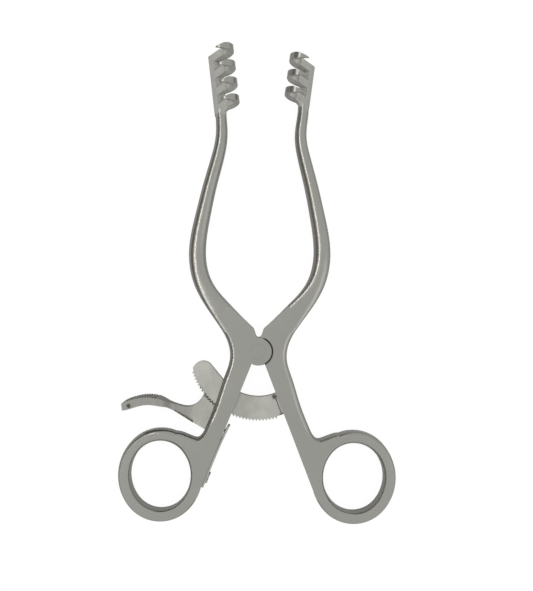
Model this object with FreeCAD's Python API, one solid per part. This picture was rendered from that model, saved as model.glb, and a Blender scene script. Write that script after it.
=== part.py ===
import FreeCAD, Part
import math
import os

V = FreeCAD.Vector

# Frame: millimetres, X to the right, Y from the finger rings to the rakes, Z from the back to the front.
# The origin lies on the pivot axis, in the plane of the flat back of the joint.

# Forging thickness at the joint and the handles
joint_thickness = 5.6
mid_z = joint_thickness / 2

# Lap joint
lap_radius = 4.74
lap_clearance = 0.06
lap_face_gap = 0.04
rivet_radius = 1.9
rivet_head_radius = 2.5
rivet_head_depth = 0.7
pivot_fit = 0.03
pin_fit = 0.02

# Mean line of the shank, as (x, y, width, thickness, squareness), on the right-hand arm
shank_stations = [
    (8.6, 8.6, 8.2, joint_thickness, 9.0),
    (12.6, 13.4, 7.2, joint_thickness, 6.0),
    (16.3, 18.0, 6.4, 5.5, 4.0),
    (19.5, 23.6, 6.0, 5.3, 2.8),
    (21.3, 32.6, 5.8, 5.1, 2.3),
    (19.5, 46.6, 5.15, 4.7, 2.1),
    (17.0, 57.7, 4.7, 4.4, 2.0),
    (14.65, 66.6, 4.4, 4.1, 2.0),
    (13.5, 74.4, 4.0, 3.9, 2.0),
]
shank_top = (3.7, 3.7, 2.2)
shank_top_below_prong = 2.3
shank_from_spine = 2.35

# Joint and handle outline on the right-hand arm
shoulder_outer = (1.7, 7.6)
shoulder_inner = (0.95, 5.35)
shoulder_root_x = 0.5
plate_inner_top = (9.9, 15.3)
plate_outer_top = (15.4, 11.3)
waist = [(12.0, 6.2), (10.1, 1.85), (9.7, -2.75), (11.65, -9.3), (14.7, -18.85), (17.9, -26.6)]
crotch = [(19.0, -28.7), (20.4, -29.85), (22.3, -29.5), (24.6, -28.6), (27.6, -27.85)]
handle_angle = 21.6
handle_inner_start = (2.15, -4.05)
handle_inner_end_y = -50.5
taper_start_y = -24.0
taper_end_y = -46.0
outer_round = 1.5

# Finger ring
ring_centre = (32.9, -42.6)
ring_hole = (10.35, 11.75)
ring_end_radius = 9.6
ring_band = 4.0
ring_thickness = 4.9
ring_round = 1.6

# Ratchet bar
bar_inner_radius = 15.5
bar_tip_radius = 23.8
tooth_depth = 0.75
tooth_angle = 2.8
tooth_face_slant = 30.0
bar_thickness = 2.2
first_tooth_angle = -17.0
tooth_count = 32
bar_straight_from = 46.0
bar_end = [(-22.3, -6.1), (-19.2, -3.6), (-16.4, -4.5)]
bar_side_clearance = 0.1
bar_edge_clearance = 0.3
tang_end_angle = -31.0
tang_fit = 0.02
tang_rivet_radius = 0.8
tang_rivet_from_inner = 2.1
tang_rivet_from_root = 1.35
tang_rivet_angle = -27.2

# Release lever, on the left-hand arm: its outline is drawn from its pin
lever_pin_from_tips = 3.84
lever_pin_angle = 29.7
lever_pin_radius = 1.0
lever_pin_fit = 0.05
lever_thickness = 3.0
pawl_teeth = 4
pawl_first_tooth = 20
pawl_gap = 0.08
pawl_lag = 0.12
lever_top = [(-11.2, 4.9), (-8.9, 5.05), (-6.7, 6.4), (-5.2, 8.4)]
pad_top = [(-32, 6.25), (-30.5, 7.05), (-28.4, 7.75), (-26.2, 8.3), (-23.7, 8.55),
           (-21.1, 8.35), (-18.9, 7.65), (-16.6, 6.5), (-13.9, 5.55)]
pad_bottom = [(-17.1, 4.9), (-19.2, 5.4), (-21.9, 5.8), (-24.4, 5.75),
              (-27.3, 5.05), (-29.8, 4.25), (-31.7, 3.9)]
lever_bottom = [(-4.7, -2.6), (-9, -0.1)]
lever_tail = [(1.1, -4.3), (-1.3, -3.8)]
lever_throat = [(-1.4, 4.3), (0.5, 2.6), (1.8, 0.7), (2.1, -1.4)]
pad_width = 7.6
pad_bottom_z = 0.2
pad_full_to = -20.3
neck_from = -13.5
neck_to = -9.3
blade_from = -6.6
pad_grooves = 13
groove_first = -30.9
groove_last = -20.7
groove_radius = 0.27
slot_end_clearance = 1.2

# Leaf spring and its screw, at distances from the pivot along the left handle's inner side
spring_start = 27.3
spring_lift_to = 37.5
spring_end = 50.0
spring_thickness = 0.75
spring_width = 3.8
spring_standoff = 0.45
tail_contact = 29.4
tail_gap = 0.03
screw_along = 46.6
screw_head_radius = 2.0
screw_head_height = 0.5
screw_shank_radius = 1.1
screw_length = 3.2
screw_slot_width = 0.5
screw_slot_depth = 0.3

# Rakes
rake_lean = 7.1
rake_foot_below = 3.6
rake_outer_foot = (15.75, 79.0)
rake_back_z = 1.0
rake_plate_thickness = 3.6
spine_width = 1.65
web_reach = 4.2
web_edge = 0.6
web_step = 0.2
prong_pitch = 5.7
prong_slant = 33.0
prong_width = 2.5
prong_flare = 0.5
hook_reach = 9.0
hook_outer_radius = 4.1
hook_thickness = 1.5
hook_width = 2.05
hook_thins_by = 95.0
hook_shift = 0.75
hook_rise = 0.1
hook_narrows_from = 68.0
left_prongs = 4
left_first_prong_y = 101.75
left_past_top = 27.0
right_prongs = 3
right_first_prong_y = 98.8
right_past_top = 37.0
tip_width = 0.3
tip_thickness = 0.25


def cos(angle):
    return math.cos(math.radians(angle))


def sin(angle):
    return math.sin(math.radians(angle))


def tan(angle):
    return math.tan(math.radians(angle))


def polar(radius, angle):
    """A point in the plane of the bar: the angle runs from straight down towards the left."""
    return V(-radius * sin(angle), -radius * cos(angle), 0)


def face_of(wire):
    return Part.Face(wire)


def lifted(wire, z):
    moved = wire.copy()
    moved.translate(V(0, 0, z))
    return moved


def plate(wire, bottom, top):
    """A flat plate over a closed outline drawn at z = 0."""
    return face_of(lifted(wire, bottom)).extrude(V(0, 0, top - bottom))


def polygon(points):
    vectors = [V(p[0], p[1], 0) for p in points]
    return Part.makePolygon(vectors + [vectors[0]])


def spline(points):
    curve = Part.BSplineCurve()
    curve.interpolate([V(p[0], p[1], 0) for p in points])
    return curve.toShape()


def line(start, end):
    return Part.makeLine(V(start[0], start[1], 0), V(end[0], end[1], 0))


def disc(radius, bottom, top, centre=(0, 0)):
    return Part.makeCylinder(radius, top - bottom, V(centre[0], centre[1], bottom))


def mirrored(shape):
    return shape.mirror(V(0, 0, 0), V(1, 0, 0))


def handle_inner(y):
    """X of the handle's straight inner edge at height y, on the right-hand arm."""
    return handle_inner_start[0] + (handle_inner_start[1] - y) * tan(handle_angle)


def superellipse(centre, direction, width, thickness, squareness):
    """A closed section across the shank, between an ellipse (2) and a rounded rectangle (more)."""
    across = V(-direction.y, direction.x, 0)
    points = []
    count = 20
    for k in range(count):
        turn = 360.0 * (k + 0.5) / count
        c, s = cos(turn), sin(turn)
        a = math.copysign(abs(c) ** (2 / squareness), c) * width / 2
        b = math.copysign(abs(s) ** (2 / squareness), s) * thickness / 2
        points.append(centre + across * a + V(0, 0, b))
    curve = Part.BSplineCurve()
    curve.interpolate(points, PeriodicFlag=True)
    return Part.Wire(curve.toShape())


def shank(last_prong_y):
    """The bowed arm between the joint and the rake, lofted along its mean line."""
    width, thickness, squareness = shank_top
    top = rake_point(shank_from_spine, last_prong_y - shank_top_below_prong, mid_z)
    stations = shank_stations + [(top.x, top.y, width, thickness, squareness)]
    sections = []
    last = len(stations) - 1
    for k, (x, y, width, thickness, squareness) in enumerate(stations):
        before = stations[max(k - 1, 0)]
        after = stations[min(k + 1, last)]
        direction = V(after[0] - before[0], after[1] - before[1], 0).normalize()
        sections.append(superellipse(V(x, y, mid_z), direction, width, thickness, squareness))
    return Part.makeLoft(sections, True, False)


def ring_oval(grow):
    """The finger hole's outline, drawn with four arcs, or one that lies outside it by grow."""
    half_width, half_length = ring_hole
    end = ring_end_radius
    rise = half_length - end
    side = (half_width**2 + rise**2 - end**2) / (2 * (half_width - end))
    centre = V(ring_centre[0], ring_centre[1], 0)
    lean = math.degrees(math.atan2(rise, side - half_width))
    arcs = []
    for k in range(4):
        along = V(cos(90 * k), sin(90 * k), 0)
        if k % 2:
            radius, middle, half = end, centre + along * rise, 90 - lean
        else:
            radius, middle, half = side, centre - along * (side - half_width), lean
        spread = [90 * k - half, 90 * k, 90 * k + half]
        arcs.append(Part.Arc(*[middle + V(cos(t), sin(t), 0) * (radius + grow) for t in spread]).toShape())
    return Part.Wire(arcs)


def finger_ring():
    """The band round the finger hole, with all its edges rounded."""
    ring = plate(ring_oval(ring_band), 0, joint_thickness).cut(plate(ring_oval(0), -1, joint_thickness + 1))
    edges = [edge for edge in ring.Edges if edge.BoundBox.ZLength < 1e-6]
    return ring.makeFillet(ring_round, edges)


def into_ring(point):
    """The middle of the ring's band, from a point on its outer edge."""
    foot = V(point[0], point[1], 0)
    inward = V(ring_centre[0], ring_centre[1], 0) - foot
    return foot + inward.normalize() * (ring_band / 2)


def handle_plate():
    """The flat forging from the shoulders, past the joint, down to the finger ring."""
    low = (handle_inner(handle_inner_end_y), handle_inner_end_y)
    root = (shoulder_root_x, math.sqrt(lap_radius**2 - shoulder_root_x**2) - lap_clearance)
    edges = [
        spline([plate_outer_top] + waist + crotch),
        line(crotch[-1], into_ring(crotch[-1])),
        line(into_ring(crotch[-1]), into_ring(low)),
        line(into_ring(low), low),
        line(low, handle_inner_start),
        line(handle_inner_start, root),
        line(root, shoulder_inner),
        line(shoulder_inner, shoulder_outer),
        line(shoulder_outer, plate_inner_top),
        line(plate_inner_top, plate_outer_top),
    ]
    return plate(Part.Wire(edges), 0, joint_thickness)


def handle_taper():
    """Seen from the side, the forging is flat past the joint and thins to the ring's thickness."""
    step = (joint_thickness - ring_thickness) / 2
    far = 2 * abs(taper_end_y)
    points = [
        V(-1, far, 0), V(-1, taper_start_y, 0), V(-1, taper_end_y, step), V(-1, -far, step),
        V(-1, -far, joint_thickness - step), V(-1, taper_end_y, joint_thickness - step),
        V(-1, taper_start_y, joint_thickness), V(-1, far, joint_thickness),
    ]
    return face_of(Part.makePolygon(points + [points[0]])).extrude(V(far, 0, 0))


def rake_point(reach, y, z):
    """A point on the rake: reach is inward from the spine's outer edge, at height y on that edge."""
    foot_x, foot_y = rake_outer_foot
    edge_x = foot_x + (y - foot_y) * tan(rake_lean)
    return V(edge_x - reach, y, z)


def prong_section(reach, y, z, outward, width, thickness, flare=0.0):
    """A four-cornered section: its width follows the spine, its thickness points along outward."""
    centre = rake_point(reach, y, z)
    along = V(tan(rake_lean), 1, 0)
    up = along * (width / 2)
    out = outward * (thickness / 2)
    corners = [
        centre - up + out - along * flare,
        centre + up + out,
        centre + up - out,
        centre - up - out,
    ]
    return Part.makePolygon(corners + [corners[0]])


def hook_section(turn, y_bottom, end):
    """A section of the hook: turn runs from -90 where it leaves the strip, over 90 at its crown, to end."""
    thinned = min(1.0, (turn + 90) / hook_thins_by)
    narrowed = max(0.0, (turn - hook_narrows_from) / (end - hook_narrows_from))
    width = prong_width + (hook_width - prong_width) * thinned + (tip_width - hook_width) * narrowed
    thickness = rake_plate_thickness + (hook_thickness - rake_plate_thickness) * thinned
    thickness += (tip_thickness - hook_thickness) * narrowed
    radius = hook_outer_radius - thickness / 2
    return prong_section(
        hook_reach - hook_outer_radius + radius * cos(turn),
        y_bottom + hook_shift * cos(turn) + hook_rise * (1 + sin(turn)),
        rake_back_z + hook_outer_radius + radius * sin(turn),
        V(-cos(turn), 0, sin(turn)),
        width,
        thickness,
        prong_flare * (1 - thinned),
    )


def prong(first_y, index, past_top):
    """A slanted strip from the spine that rolls into a sharp hook, by past_top degrees past its crown."""
    y_bottom = first_y - index * prong_pitch
    bend = hook_reach - hook_outer_radius
    plate_mid = rake_back_z + rake_plate_thickness / 2
    root = prong_section(
        0.0, y_bottom - bend * tan(prong_slant), plate_mid, V(0, 0, -1),
        prong_width, rake_plate_thickness,
    )
    flared = prong_section(
        bend / 2, y_bottom - bend / 2 * tan(prong_slant), plate_mid, V(0, 0, -1),
        prong_width, rake_plate_thickness, prong_flare,
    )
    end = 90 + past_top
    turns = [-90, -70, -50, -30, -5, 20, 45, 65, 85, 85 + (end - 85) / 3, 85 + (end - 85) * 2 / 3, end]
    hook = [hook_section(turn, y_bottom, end) for turn in turns]
    straight = Part.makeLoft([root, flared, hook[0]], True, True)
    rolled = Part.makeLoft(hook, True, False)
    return straight.fuse(rolled)


def rake(prongs, first_y, past_top):
    """The spine, the thinned web behind the notches and the hooked prongs."""
    front_z = rake_back_z + rake_plate_thickness
    last_y = first_y - (prongs - 1) * prong_pitch
    bend = hook_reach - hook_outer_radius
    drop = bend * tan(prong_slant) - prong_width / 2
    spine_top = first_y - drop
    spine_foot = last_y - rake_foot_below
    outline = [
        rake_point(0, spine_foot, 0),
        rake_point(0, spine_top, 0),
        rake_point(spine_width, spine_top + spine_width * tan(prong_slant), 0),
        rake_point(spine_width, spine_foot, 0),
    ]
    spine = plate(polygon(outline), rake_back_z, front_z)
    web_low = rake_point(0, last_y - drop, 0)
    web_high = rake_point(0, spine_top - prong_width / 2, 0)
    profile = [
        (spine_width / 2, rake_back_z),
        (web_reach, rake_back_z),
        (web_reach, rake_back_z + web_edge),
        (spine_width, front_z - web_step),
        (spine_width / 2, front_z - web_step),
    ]
    corners = [V(web_low.x - reach, web_low.y, z) for reach, z in profile]
    web = face_of(Part.makePolygon(corners + [corners[0]])).extrude(web_high - web_low)
    foot_outline = [
        rake_point(spine_width / 2, spine_foot, 0),
        rake_point(spine_width / 2, last_y - drop, 0),
        rake_point(bend, last_y + 0.3, 0),
        rake_point(bend, last_y - 1.7, 0),
        rake_point(4.15, last_y - 2.4, 0),
        rake_point(3.5, last_y - shank_top_below_prong - 1.0, 0),
        rake_point(3.3, spine_foot, 0),
    ]
    foot = plate(polygon(foot_outline), rake_back_z, front_z)
    return spine.fuse([web, foot] + [prong(first_y, k, past_top) for k in range(prongs)])


def arm_blank(prongs, first_y, past_top):
    """A whole forging, before the lap joint and the slots are cut, as the right-hand arm."""
    body = handle_plate()
    round_edges = []
    for edge in body.Edges:
        box = edge.BoundBox
        flat = box.ZLength < 1e-6
        if flat and box.XMin > 9 and box.YLength > 20 and box.XMax > 18 and box.YMax > 5:
            round_edges.append(edge)
    body = body.makeFillet(outer_round, round_edges).cut(plate(ring_oval(ring_band / 2), 0, joint_thickness))
    body = body.fuse(finger_ring()).common(handle_taper())
    last_prong_y = first_y - (prongs - 1) * prong_pitch
    return body.fuse(shank(last_prong_y).fuse(rake(prongs, first_y, past_top)))


def tooth_profile(first, count, gap=0.0, lag=0.0):
    """Saw-tooth points from tooth number first on: a steep face towards the right, then a slope."""
    face = math.degrees(tooth_depth * tan(tooth_face_slant) / bar_tip_radius)
    points = []
    for k in range(first, first + count):
        start = first_tooth_angle + k * tooth_angle - lag
        points.append(polar(bar_tip_radius - tooth_depth + gap, start))
        points.append(polar(bar_tip_radius + gap, start + face))
    points.append(polar(bar_tip_radius - tooth_depth + gap, first_tooth_angle - lag
                        + (first + count) * tooth_angle))
    return points


def bar_outline(grow=0.0):
    """The toothed arc about the pivot, from its tang in the right handle to its rounded far end."""
    inner = bar_inner_radius - grow
    outer = bar_tip_radius - tooth_depth + grow
    teeth = tooth_profile(0, tooth_count)
    root_out = polar(outer, tang_end_angle)
    root_in = polar(inner, tang_end_angle)
    bend = polar(inner, bar_straight_from)
    middle = (tang_end_angle + bar_straight_from) / 2
    heel = V(bar_end[2][0], bar_end[2][1], 0)
    nose = V(bar_end[0][0], bar_end[0][1], 0)
    before_teeth = polar(outer, (tang_end_angle + first_tooth_angle) / 2)
    edges = [
        Part.Arc(root_out, before_teeth, polar(outer, first_tooth_angle)).toShape(),
        Part.makePolygon([polar(outer, first_tooth_angle)] + teeth[1:] + [nose]),
        Part.Arc(nose, V(bar_end[1][0], bar_end[1][1], 0), heel).toShape(),
        line(heel, bend),
        Part.Arc(bend, polar(inner, middle), root_in).toShape(),
        line(root_in, root_out),
    ]
    return Part.Wire([e for shape in edges for e in shape.Edges])


def tang_rivet_places():
    """The centres of the upper and the lower rivet through the tang."""
    root_radius = bar_tip_radius - tooth_depth
    radii = (bar_inner_radius + tang_rivet_from_inner, root_radius - tang_rivet_from_root)
    points = [polar(radius, tang_rivet_angle) for radius in radii]
    return [(point.x, point.y) for point in points]


def ratchet_bar():
    bottom = mid_z - bar_thickness / 2
    bar = plate(bar_outline(), bottom, bottom + bar_thickness)
    for at in tang_rivet_places():
        bar = bar.cut(disc(tang_rivet_radius + pin_fit, -1, joint_thickness + 1, at))
    return bar


def tang_seat():
    """The seat for the tang, cut into the right handle from its inner side."""
    half = bar_thickness / 2 + tang_fit
    inner = bar_inner_radius - tang_fit
    outer = bar_tip_radius - tooth_depth + tang_fit
    open_angle = first_tooth_angle
    end = tang_end_angle - math.degrees(tang_fit / inner)
    corners = [polar(r, a) for r, a in ((outer, end), (outer, open_angle), (inner, open_angle), (inner, end))]
    middle = (end + open_angle) / 2
    edges = [
        Part.Arc(corners[0], polar(outer, middle), corners[1]).toShape(),
        line(corners[1], corners[2]),
        Part.Arc(corners[2], polar(inner, middle), corners[3]).toShape(),
        line(corners[3], corners[0]),
    ]
    return plate(Part.Wire(edges), mid_z - half, mid_z + half)


def rivet_shape(grow=0.0):
    """The pivot rivet with its two flush countersunk ends, or the hole for it."""
    shaft = disc(rivet_radius + grow, 0, joint_thickness)
    low = Part.makeCone(rivet_head_radius + grow, rivet_radius + grow, rivet_head_depth)
    high = Part.makeCone(rivet_radius + grow, rivet_head_radius + grow, rivet_head_depth,
                         V(0, 0, joint_thickness - rivet_head_depth))
    return shaft.fuse([low, high])


def edge_point(along, off):
    """A point by the left handle's inner edge: along it from the pivot, and off it towards the right."""
    down = V(-sin(handle_angle), -cos(handle_angle), 0)
    across = V(cos(handle_angle), -sin(handle_angle), 0)
    start = V(-handle_inner_start[0], handle_inner_start[1], 0)
    foot = start - down * start.dot(down)
    return foot + down * along + across * off


def spring_lift(along):
    """How far the leaf stands off the handle at a distance along it."""
    share = max(0.0, (spring_lift_to - along) / (spring_lift_to - spring_start))
    return spring_standoff * share**2


def leaf_spring():
    """A leaf that lies on the handle at its screw and stands off it at its free end."""
    t = spring_thickness
    first = spring_start + t / 2
    places = [first + (spring_lift_to - first) * k / 4 for k in range(5)]
    near = [edge_point(along, spring_lift(along)) for along in places]
    far = [edge_point(along, spring_lift(along) + t) for along in places]
    edges = [
        Part.Arc(far[0], edge_point(spring_start, spring_lift(first) + t / 2), near[0]).toShape(),
        spline([(p.x, p.y) for p in near]),
        line(near[-1], edge_point(spring_end, 0)),
        line(edge_point(spring_end, 0), edge_point(spring_end, t)),
        line(edge_point(spring_end, t), far[-1]),
        spline([(p.x, p.y) for p in reversed(far)]),
    ]
    leaf = plate(Part.Wire(edges), mid_z - spring_width / 2, mid_z + spring_width / 2)
    return leaf.cut(screw_cylinder(screw_shank_radius + pin_fit, -1, spring_thickness + 1))


def screw_cylinder(radius, low, high):
    """A cylinder on the screw's axis, between two heights off the handle's inner edge."""
    across = V(cos(handle_angle), -sin(handle_angle), 0)
    base = edge_point(screw_along, low) + V(0, 0, mid_z)
    return Part.makeCylinder(radius, high - low, base, across)


def spring_seat():
    """The flat along the left handle's inner side that carries the leaf."""
    margin = 0.4
    length = spring_end - spring_start + 2 * margin
    seat = Part.makeBox(length, 3, joint_thickness + 2)
    seat.rotate(V(0, 0, 0), V(0, 0, 1), -90 - handle_angle)
    seat.translate(edge_point(spring_start - margin, 0) + V(0, 0, -1))
    return seat


def spring_screw():
    top = spring_thickness + screw_head_height
    screw = screw_cylinder(screw_head_radius, spring_thickness, top)
    screw = screw.fuse(screw_cylinder(screw_shank_radius, -screw_length, spring_thickness))
    slot = Part.makeBox(4 * screw_head_radius, screw_slot_width, 4 * screw_head_radius)
    slot.translate(V(0, -screw_slot_width / 2, -2 * screw_head_radius))
    slot.rotate(V(0, 0, 0), V(0, 0, 1), -handle_angle)
    slot.translate(edge_point(screw_along, top - screw_slot_depth) + V(0, 0, mid_z))
    return screw.cut(slot)


def lever_pin_place():
    return polar(bar_tip_radius + lever_pin_from_tips, lever_pin_angle)


def from_pin(points):
    """Points of the lever's outline, which is drawn from its pin, in the frame of the part."""
    pin = lever_pin_place()
    return [(pin.x + x, pin.y + y) for x, y in points]


def lever_outline():
    """The lever seen from the front: pad, neck, pawl teeth, hub and tail."""
    teeth = list(reversed(tooth_profile(pawl_first_tooth, pawl_teeth, pawl_gap, pawl_lag)))
    tip = edge_point(tail_contact, spring_lift(tail_contact) - tail_gap)
    crest = from_pin(pad_top + lever_top)
    under = from_pin(pad_bottom)
    inner = [V(crest[-1][0], crest[-1][1], 0)] + teeth
    inner += [V(x, y, 0) for x, y in from_pin(lever_throat)]
    inner += [edge_point(tail_contact - 0.8, 0), tip, edge_point(tail_contact + 0.7, 0)]
    inner += [V(x, y, 0) for x, y in from_pin(lever_tail + lever_bottom) + under[:1]]
    edges = [spline(crest)] + Part.makePolygon(inner).Edges + [spline(under), line(under[-1], crest[0])]
    return Part.Wire(edges)


def slope_between(start, end):
    """A smooth step in the lever's thickness, seen from above its pad."""
    middle = (start.x + end.x) / 2
    curve = Part.BezierCurve()
    curve.setPoles([start, V(middle, start.y, start.z), V(middle, end.y, end.z), end])
    return curve.toShape()


def lever_plan():
    """The lever seen from above its pad: a wide pad, a thinner neck and a blade that fits the slot."""
    pin_x = lever_pin_place().x
    pad_top_z = pad_bottom_z + pad_width
    beyond = 2 * slot_outer_radius()
    neck = lever_thickness / 2
    blade = bar_thickness / 2
    sides = []
    for pad_z, side in ((pad_bottom_z, -1), (pad_top_z, 1)):
        steps = [
            V(-beyond, -beyond, pad_z),
            V(pin_x + pad_full_to, -beyond, pad_z),
            V(pin_x + neck_from, -beyond, mid_z + side * neck),
            V(pin_x + neck_to, -beyond, mid_z + side * neck),
            V(pin_x + blade_from, -beyond, mid_z + side * blade),
            V(0, -beyond, mid_z + side * blade),
        ]
        sides.append(steps)
    edges = []
    for steps in sides:
        edges += [Part.makeLine(steps[0], steps[1]), slope_between(steps[1], steps[2]),
                  Part.makeLine(steps[2], steps[3]), slope_between(steps[3], steps[4]),
                  Part.makeLine(steps[4], steps[5])]
    edges += [Part.makeLine(sides[0][0], sides[1][0]), Part.makeLine(sides[0][-1], sides[1][-1])]
    outline = Part.Wire(Part.__sortEdges__(edges))
    return face_of(outline).extrude(V(0, 2 * beyond, 0))


def release_lever():
    lever = plate(lever_outline(), pad_bottom_z, pad_bottom_z + pad_width).common(lever_plan())
    pin = lever_pin_place()
    lever = lever.cut(disc(lever_pin_radius + lever_pin_fit, -1, joint_thickness + 1, (pin.x, pin.y)))
    crest = Part.BSplineCurve()
    crest.interpolate([V(x, y, 0) for x, y in from_pin(pad_top + lever_top)])
    grooves = []
    for k in range(pad_grooves):
        x = pin.x + groove_first + (groove_last - groove_first) * k / (pad_grooves - 1)
        y = crest_height(crest, x)
        grooves.append(disc(groove_radius, -1, pad_bottom_z + pad_width + 1, (x, y)))
    return lever.cut(grooves)


def crest_height(curve, x):
    """Y of the pad's upper side at x, found along its curve."""
    low, high = curve.FirstParameter, curve.LastParameter
    for _ in range(40):
        half = (low + high) / 2
        if curve.value(half).x < x:
            low = half
        else:
            high = half
    return curve.value(low).y


def slot_outer_radius():
    """The slot reaches past the lever's lower corners."""
    corners = from_pin(lever_tail + lever_bottom[:1])
    return max(math.hypot(x, y) for x, y in corners) + slot_end_clearance


def handle_slot():
    """The slot through the left handle for the bar, the pawl and the lever's tail."""
    half = bar_thickness / 2 + bar_side_clearance
    outer = slot_outer_radius()
    annulus = disc(outer, mid_z - half, mid_z + half)
    annulus = annulus.cut(disc(bar_inner_radius - bar_edge_clearance, 0, joint_thickness))
    lower_left = Part.makeBox(outer, outer, joint_thickness, V(-outer, -outer, 0))
    return annulus.common(lower_left)


def right_arm():
    arm = arm_blank(right_prongs, right_first_prong_y, right_past_top)
    split = mid_z - lap_face_gap / 2
    arm = arm.cut(disc(lap_radius + lap_clearance, split, joint_thickness + 1))
    arm = arm.fuse(disc(lap_radius, 0, split))
    cuts = [rivet_shape(pivot_fit), tang_seat()]
    cuts += [disc(tang_rivet_radius + pin_fit, -1, joint_thickness + 1, at) for at in tang_rivet_places()]
    return arm.cut(cuts)


def left_arm():
    arm = mirrored(arm_blank(left_prongs, left_first_prong_y, left_past_top))
    split = mid_z + lap_face_gap / 2
    arm = arm.cut(disc(lap_radius + lap_clearance, -1, split))
    arm = arm.fuse(disc(lap_radius, split, joint_thickness))
    pin = lever_pin_place()
    cuts = [
        rivet_shape(pivot_fit),
        handle_slot(),
        disc(lever_pin_radius + pin_fit, -1, joint_thickness + 1, (pin.x, pin.y)),
        screw_cylinder(screw_shank_radius + pin_fit, -screw_length - 0.1, 1),
        spring_seat(),
    ]
    return arm.cut(cuts)


def build():
    upper, lower = tang_rivet_places()
    pin = lever_pin_place()
    return {
        "left_arm": left_arm(),
        "right_arm": right_arm(),
        "pivot_rivet": rivet_shape(),
        "ratchet_bar": ratchet_bar(),
        "ratchet_rivet_upper": disc(tang_rivet_radius, 0, joint_thickness, upper),
        "ratchet_rivet_lower": disc(tang_rivet_radius, 0, joint_thickness, lower),
        "release_lever": release_lever(),
        "lever_pin": disc(lever_pin_radius, 0, joint_thickness, (pin.x, pin.y)),
        "leaf_spring": leaf_spring(),
        "spring_screw": spring_screw(),
    }


def save(nodes):
    os.makedirs("parts", exist_ok=True)
    for name, shape in nodes.items():
        shape.exportStep(f"parts/{name}.step")
        print(name, shape.ShapeType, len(shape.Solids), round(shape.Volume, 1), shape.isValid())


save(build())
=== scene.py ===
"""A self retaining retractor in satin stainless steel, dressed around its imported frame.

Everything is in metres, in the frame of the solids: X to the right, Y from the finger rings to the
rakes, Z up towards the hooks. The instrument lies on the flat back of its joint.
"""

import logging
import math
from dataclasses import dataclass, field
from enum import Enum

import bmesh
import bpy
from mathutils import Matrix, Vector

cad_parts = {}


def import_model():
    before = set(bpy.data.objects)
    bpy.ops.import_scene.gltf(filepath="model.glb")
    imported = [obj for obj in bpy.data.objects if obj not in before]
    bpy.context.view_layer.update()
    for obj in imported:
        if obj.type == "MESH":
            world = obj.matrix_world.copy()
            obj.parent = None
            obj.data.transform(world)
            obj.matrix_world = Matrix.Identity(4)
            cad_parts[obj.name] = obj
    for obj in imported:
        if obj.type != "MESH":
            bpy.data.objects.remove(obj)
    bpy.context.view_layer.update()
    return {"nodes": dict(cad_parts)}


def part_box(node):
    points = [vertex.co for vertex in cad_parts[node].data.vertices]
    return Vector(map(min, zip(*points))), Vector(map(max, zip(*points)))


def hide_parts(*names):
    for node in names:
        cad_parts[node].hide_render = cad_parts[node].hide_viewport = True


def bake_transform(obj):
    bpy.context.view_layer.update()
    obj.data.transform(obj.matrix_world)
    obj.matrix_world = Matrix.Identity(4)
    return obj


LOG = logging.getLogger("retractor")
MM = 0.001

# How far the handles lean out from the Y axis at rest.
HANDLE_LEAN = math.radians(21.6)
# The middle of the joint's thickness, where the leaf has its middle too.
MIDDLE_Z = 2.8 * MM

Colour = tuple[float, float, float]
Point = tuple[float, float, float]
Node = bpy.types.Node
Socket = bpy.types.NodeSocket
Term = float | Socket

WHITE: Colour = (1.0, 1.0, 1.0)


class Body(Enum):
    """Two rigid bodies of the frame: the left arm and the release lever."""

    LEFT_ARM = "left_arm"
    RELEASE_LEVER = "release_lever"


class Slot(Enum):
    """The names of three of the materials."""

    SATIN_FORGING = "satin_forging"
    BRUSHED_BAR = "brushed_bar"
    SPRING_STEEL = "spring_steel"


class Grinding(Enum):
    """How the brushed lines of a ground piece run."""

    STEEP = "steeply up to the right"
    UPRIGHT = "nearly along Y"
    ALONG_LEAF = "along the leaf"


class Mixed(Enum):
    """What a Mix node mixes: its type, the numbers of its two inputs and that of its output."""

    VECTOR = ("VECTOR", 4, 5, 1)
    COLOUR = ("RGBA", 6, 7, 2)


# How far the lines rise from the X axis on the pieces that lie flat.
RISE = {Grinding.STEEP: math.radians(66.0), Grinding.UPRIGHT: math.radians(100.0)}


def opaque(tone: Colour | Socket) -> tuple | Socket:
    """Adds the fourth number that a colour input takes.

    Args:
        tone: a colour, or a socket, which stays as it is.

    Returns:
        The colour with its fourth number, or the socket.
    """
    return (*tone, 1.0) if isinstance(tone, tuple) else tone


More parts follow.
